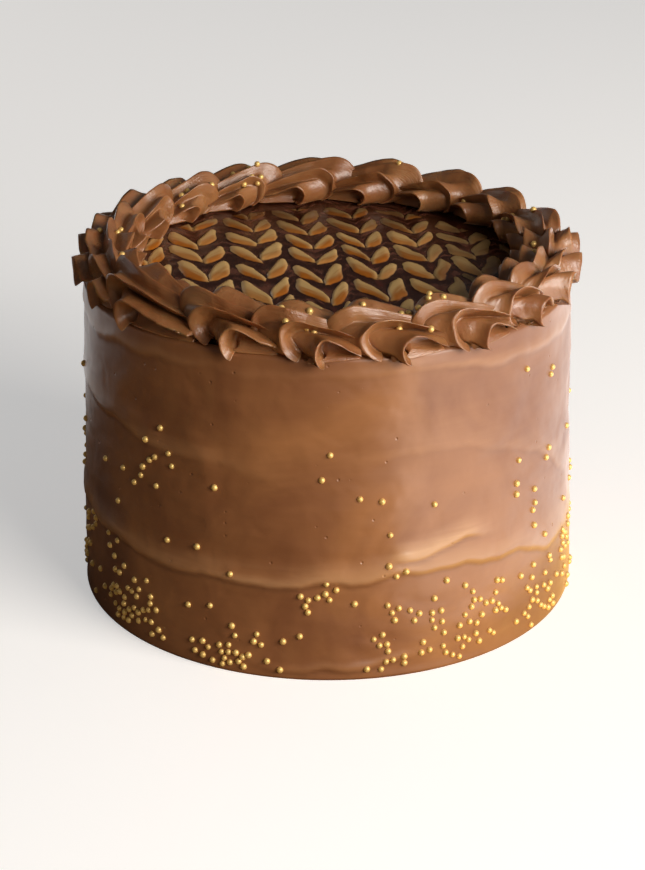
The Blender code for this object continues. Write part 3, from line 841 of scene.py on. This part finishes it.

# %% Where a leaf stops
# A leaf stops short of both strokes, and of a margin of plain ganache. The margin is widest behind and on
# the right, where the dark ganache is partly painted shade of the border.
to_ridge = np.where(left, in_column, 1 - in_column) * COLUMN
to_valley = np.abs(in_column - SPLIT) * COLUMN
edge = np.minimum(edge, 1.2 * (to_ridge - 1.3 - 0.6 * soft_noise(x_mm, y_mm, 6.0, 16)))
edge = np.minimum(edge, 2.0 * (to_valley - 0.25))
margin = 86.0 - 15.0 * ease(y_mm, 10.0, 70.0) - 9.0 * ease(x_mm, 30.0, 75.0)
edge = np.minimum(edge, 0.4 * (margin - reach) + 0.6 * soft_noise(x_mm, y_mm, 7.0, 23))
streak = soft_noise(rows * ROW, to_tip * 4 + 9 * side, 1.3, 21)
# Painted shade: on the lower side of each leaf the caramel fades softly into the dark ganache, and the
# relief is lower there too.
under = ease(-across_leaf, 0.0, 1.0)
edge = edge / (1.0 + 1.2 * under) + 0.20 * streak * under
caramel = ease(edge, -0.2, 0.3)
print("caramel on", round(100 * float(caramel.mean())), "percent of the points")

# %% [markdown]
# ## Masks and relief
# Four masks colour the top. "amber_and_painted_sheen" runs from pale to amber caramel across each leaf: the
# upper half and both ends are pale, as painted sheen, and the lower half is amber. It also varies from leaf
# to leaf and is paler on the right. "bleed_and_painted_shade" darkens the caramel: a little at random where
# chocolate bled in, and strongly at the back and on the right, as painted shade of the border. Smear is
# milky ganache that the skewer dragged, and red is the rusty line along a stroke. The relief puffs each leaf
# up like a drop, by three quarters of a millimetre.

# %% Masks
# Painted sheen: the upper half of each leaf and both its ends are mixed towards pale toffee.
amber_and_painted_sheen = ease(-across_leaf + 0.25 * streak, -0.35, 0.65) * ease(to_tip, 0.0, 0.35)
amber_and_painted_sheen = amber_and_painted_sheen * (1 - 0.6 * ease(to_tip, 0.75, 1.0))
amber_and_painted_sheen = amber_and_painted_sheen * np.clip(0.95 + 0.3 * own[..., 2] - 0.4 * ease(x_mm, 5.0, 60.0), 0, 1)
# Painted shade: the caramel darkens towards the back and the right, as if the border shaded it. Only the
# random share per leaf is chocolate that bled in.
bleed_and_painted_shade = ease(y_mm + 6.0 * soft_noise(x_mm, y_mm, 14.0, 24), 26.0, 68.0)
painted_shade_right = ease(x_mm + 0.2 * y_mm + 8.0 * soft_noise(x_mm, y_mm, 12.0, 25), 30.0, 74.0)
bleed_and_painted_shade = np.maximum(bleed_and_painted_shade, painted_shade_right)
bleed_and_painted_shade = np.clip(bleed_and_painted_shade + 0.30 * own[..., 3] * ease(x_mm, -20.0, 30.0), 0, 1)
smear = soft_noise(rows * ROW, to_tip * 6, 2.0, 17) * 0.7 + soft_noise(x_mm, y_mm, 8.0, 18) * 0.5
smear = ease(smear, -0.1, 0.7) * (1 - caramel)
red = 0.7 * (1 - ease(to_valley, 0.2, 1.6)) * (1 - caramel)
red = red * ease(soft_noise(x_mm, y_mm, 7.0, 22), -0.2, 0.5)
top_masks = {"edge": edge, "amber_and_painted_sheen": amber_and_painted_sheen, "smear": smear, "red": red, "bleed_and_painted_shade": bleed_and_painted_shade}
print("masks", ", ".join(top_masks))

# %% Relief
PUFF_HEIGHT = 0.75
PUFF_WIDTH = 3.0
GANACHE_LEVEL = 0.7
puff = np.sqrt(np.clip(1 - np.clip(1 - edge / PUFF_WIDTH, 0, 1) ** 2, 0, 1))
relief = PUFF_HEIGHT * puff * (0.6 + 0.4 * ease(to_tip, 0, 0.3))
relief = relief + 0.12 * soft_noise(x_mm, y_mm, 4.0, 19) * (1 - caramel)
base = GANACHE_FOOT / MM
z_mm = np.where(spread > 0.985, base - 0.2, base + GANACHE_LEVEL + relief)
print("top from", round(float(z_mm.min()), 1), "to", round(float(z_mm.max()), 1), "mm")

# %% The top as a closed mesh
# The grid gets a flat underside, and bmesh turns all faces outwards.
points = np.stack([x_mm, y_mm, z_mm], -1).reshape(-1, 3) * MM
order = np.arange(points.shape[0]).reshape(x_mm.shape)
corners = [order[:-1, :-1], order[1:, :-1], order[1:, 1:], order[:-1, 1:]]
quads = np.stack(corners, -1).reshape(-1, 4)
mesh = bpy.data.meshes.new("feathered_top")
mesh.from_pydata(points.tolist(), [], quads.tolist())
for name, values in top_masks.items():
    layer = mesh.attributes.new(name, "FLOAT", "POINT")
    layer.data.foreach_set("value", values.reshape(-1).astype(np.float32))
shape = bmesh.new()
shape.from_mesh(mesh)
open_edges = [line for line in shape.edges if line.is_boundary]
bmesh.ops.holes_fill(shape, edges=open_edges, sides=0)
bmesh.ops.recalc_face_normals(shape, faces=shape.faces)
shape.to_mesh(mesh)
print("top volume", round(shape.calc_volume() / MM ** 3 / 1000, 1), "ml")
shape.free()
mesh.shade_smooth()
top = bpy.data.objects.new("feathered_top", mesh)
scene.collection.objects.link(top)
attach(top, "root")
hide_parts("ganache_top")

# %% [markdown]
# ## Caramel and ganache
# Ganache is chocolate and cream, caramel is sugar and cream, and both set to a gloss that is a bit
# short of a mirror. So one smooth shader serves both, and only the colour changes: dark brown, and
# pale toffee to amber.

# %% Glossy caramel over ganache
feathered, tree, shader = new_material("caramel_feathered_ganache", {"Roughness": 0.27, "IOR": 1.45})
masks = {name: add(tree, "ShaderNodeAttribute", attribute_name=name).outputs["Fac"]
         for name in top_masks}
# Pale toffee on the upper halves and ends of the leaves is painted sheen.
toffee = add(tree, MIX, masks["amber_and_painted_sheen"], paint("dcb474"), paint("b5681a"), **COLORS)
# The toffee darkens towards dark brown by the mask of bleed and painted shade.
bleed_and_shade_share = add(tree, MATH, masks["bleed_and_painted_shade"], 0.8, **TIMES)
toffee = add(tree, MIX, bleed_and_shade_share, toffee, paint("3a2114"), **COLORS)
ganache = add(tree, MIX, masks["smear"], paint("38190d"), paint("6b4030"), **COLORS)
ganache = add(tree, MIX, masks["red"], ganache, paint("5e2a1c"), **COLORS)
on_leaf = add(tree, RANGE, masks["edge"], -0.15, 0.20, 0.0, 1.0)
both = add(tree, MIX, on_leaf, ganache, toffee, **COLORS)
connect(tree, shader.inputs["Base Color"], both)
top.data.materials.append(feathered)

# %% [markdown]
# ## Gold sugar balls
# Nonpareils are sugar beads, here about 2.5 mm across, in a glaze that shines half like metal, half
# like candy, so the shader is only part metallic. They were thrown at the foot of the cake, so they
# lie thick near the base and thin out upwards, often in clumps. An attribute, "dust", says how
# thickly they fell, and Geometry Nodes scatters them by it.

# %% Gold sugar
gold, tree, shader = new_material("gold_sugar", {
    "Base Color": paint("f0c878"), "Roughness": 0.38, "Metallic": 0.35})

# %% Points of the side
wall = tier.data
points = np.empty(len(wall.vertices) * 3)
wall.vertices.foreach_get("co", points)
points = points.reshape(-1, 3) / MM
compass = np.degrees(np.arctan2(points[:, 0], -points[:, 1]))
height = points[:, 2]
arc = np.radians(compass) * 99.0
print("side", len(points), "points")

# %% Where balls fell on the side
# Clusters in front: bearing from the front in degrees, height in millimetres, how wide in degrees,
# how tall in millimetres, and how thick. At the back noise makes the clumps.
CLUSTERS = (
    (-52, 13, 9, 9, 1.6), (-24, 6, 7, 5, 1.8), (-17, 15, 7, 4, 0.9), (-2, 33, 4, 4, 1.8),
    (31, 22, 13, 10, 0.8), (56, 12, 10, 9, 0.9), (28, 9, 9, 6, 0.8), (12, 10, 5, 9, 0.7),
    (-72, 25, 6, 13, 0.5), (72, 22, 7, 13, 0.6), (-38, 72, 12, 10, 0.22), (52, 68, 9, 13, 0.2),
    (4, 44, 9, 6, 0.22), (18, 70, 12, 4, 0.25), (58, 108, 6, 6, 0.25), (-60, 60, 8, 8, 0.2),
)
clump = ease(soft_noise(arc, height, 12.0, 31), 0.15, 0.8) * ease(np.abs(compass), 60.0, 90.0)
dust = np.clip(1 - height / 125.0, 0, 1) ** 2.2 * (0.06 + 0.75 * clump)
for bearing, level, wide, tall, amount in CLUSTERS:
    near = ((compass - bearing) / wide) ** 2 + ((height - level) / tall) ** 2
    dust = np.maximum(dust, amount * np.exp(-near))
on_side = np.hypot(points[:, 0], points[:, 1]) > 94.0
dust = np.where(on_side & (height > 1.2) & (height < 122.0), dust, 0.0)
layer = wall.attributes.new("dust", "FLOAT", "POINT")
layer.data.foreach_set("value", dust.astype(np.float32))
print(len(CLUSTERS), "clusters")

# %% One tree scatters balls
# A ball has 50 faces, which is round enough at this size, and sinks to its middle.
SEGMENTS, RINGS = 10, 5
BALL_FACES = SEGMENTS * RINGS
SMALLEST, LARGEST = 0.88, 1.06
ball_sizes = {"Diameter": 2.6 * MM, "Density": 230000.0, "Seed": 4}
tree = new_tree("scattered balls", ball_sizes, on_mesh=True)
sizes = add(tree, "NodeGroupInput").outputs
fallen = add(tree, "GeometryNodeInputNamedAttribute", inputs={"Name": "dust"})
spots = add(tree, "GeometryNodeDistributePointsOnFaces", sizes["Mesh"], distribute_method="POISSON",
            inputs={"Distance Min": sizes["Diameter"], "Density Max": sizes["Density"],
                    "Density Factor": fallen, "Seed": sizes["Seed"]})
ball = add(tree, MATH, sizes["Diameter"], 0.5, **TIMES)
ball = add(tree, "GeometryNodeMeshUVSphere", SEGMENTS, RINGS, ball)
chance = add(tree, "FunctionNodeRandomValue", SMALLEST, LARGEST, None, sizes["Seed"], data_type="FLOAT")
placed = add(tree, "GeometryNodeInstanceOnPoints", spots, inputs={"Instance": ball, "Scale": chance})
real = add(tree, "GeometryNodeRealizeInstances", placed)
colored = add(tree, "GeometryNodeSetMaterial", real, None, gold)
add(tree, "NodeGroupOutput", add(tree, "GeometryNodeSetShadeSmooth", colored))
print("ball tree", len(tree.nodes), "nodes")

# %% Balls on the side
balls = grow("gold_balls_side", tree, ball_sizes, wall.copy())
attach(balls, "root")
faces = balls.data.polygons
seen = sum(1 for index in range(0, len(faces), BALL_FACES) if faces[index].center.y < -0.02)
print("balls on the side", len(faces) // BALL_FACES, "of which in front", seen)

# %% [markdown]
# ## Balls on the border
# A few handfuls landed on the crowns of the shells. The same tree scatters them over all the shells
# at once. Dust is the nearness to a cluster, and falls away on steep faces, where balls would roll off.

# %% Balls on the border
# Clusters on the border: x and y in millimetres, and how thick.
BORDER_CLUSTERS = (
    (-58, 62, 1.0), (-30, 79, 0.8), (-84, 5, 0.5), (33, -72, 1.4), (76, -14, 1.0),
    (60, 58, 0.4), (79, 28, 0.4), (12, -80, 0.8), (-12, -86, 0.3))
LOWEST_CROWN = 136.0
joined = bmesh.new()
for shell in shells:
    joined.from_mesh(shell.data)
joined.normal_update()
dust = joined.verts.layers.float.new("dust")
for vert in joined.verts:
    place = vert.co / MM
    near = 0.004
    for x, y, amount in BORDER_CLUSTERS:
        near = max(near, amount * math.exp(-((place.x - x) ** 2 + (place.y - y) ** 2) / 60.0))
    vert[dust] = near * max(0.0, abs(vert.normal.z) - 0.2) * (place.z > LOWEST_CROWN)
crowns = bpy.data.meshes.new("crowns")
joined.to_mesh(crowns)
joined.free()
border_sizes = {"Diameter": 2.6 * MM, "Density": 360000.0, "Seed": 3}
border_balls = grow("gold_balls_border", tree, border_sizes, crowns)
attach(border_balls, "root")
print("balls on the border", len(border_balls.data.polygons) // BALL_FACES)
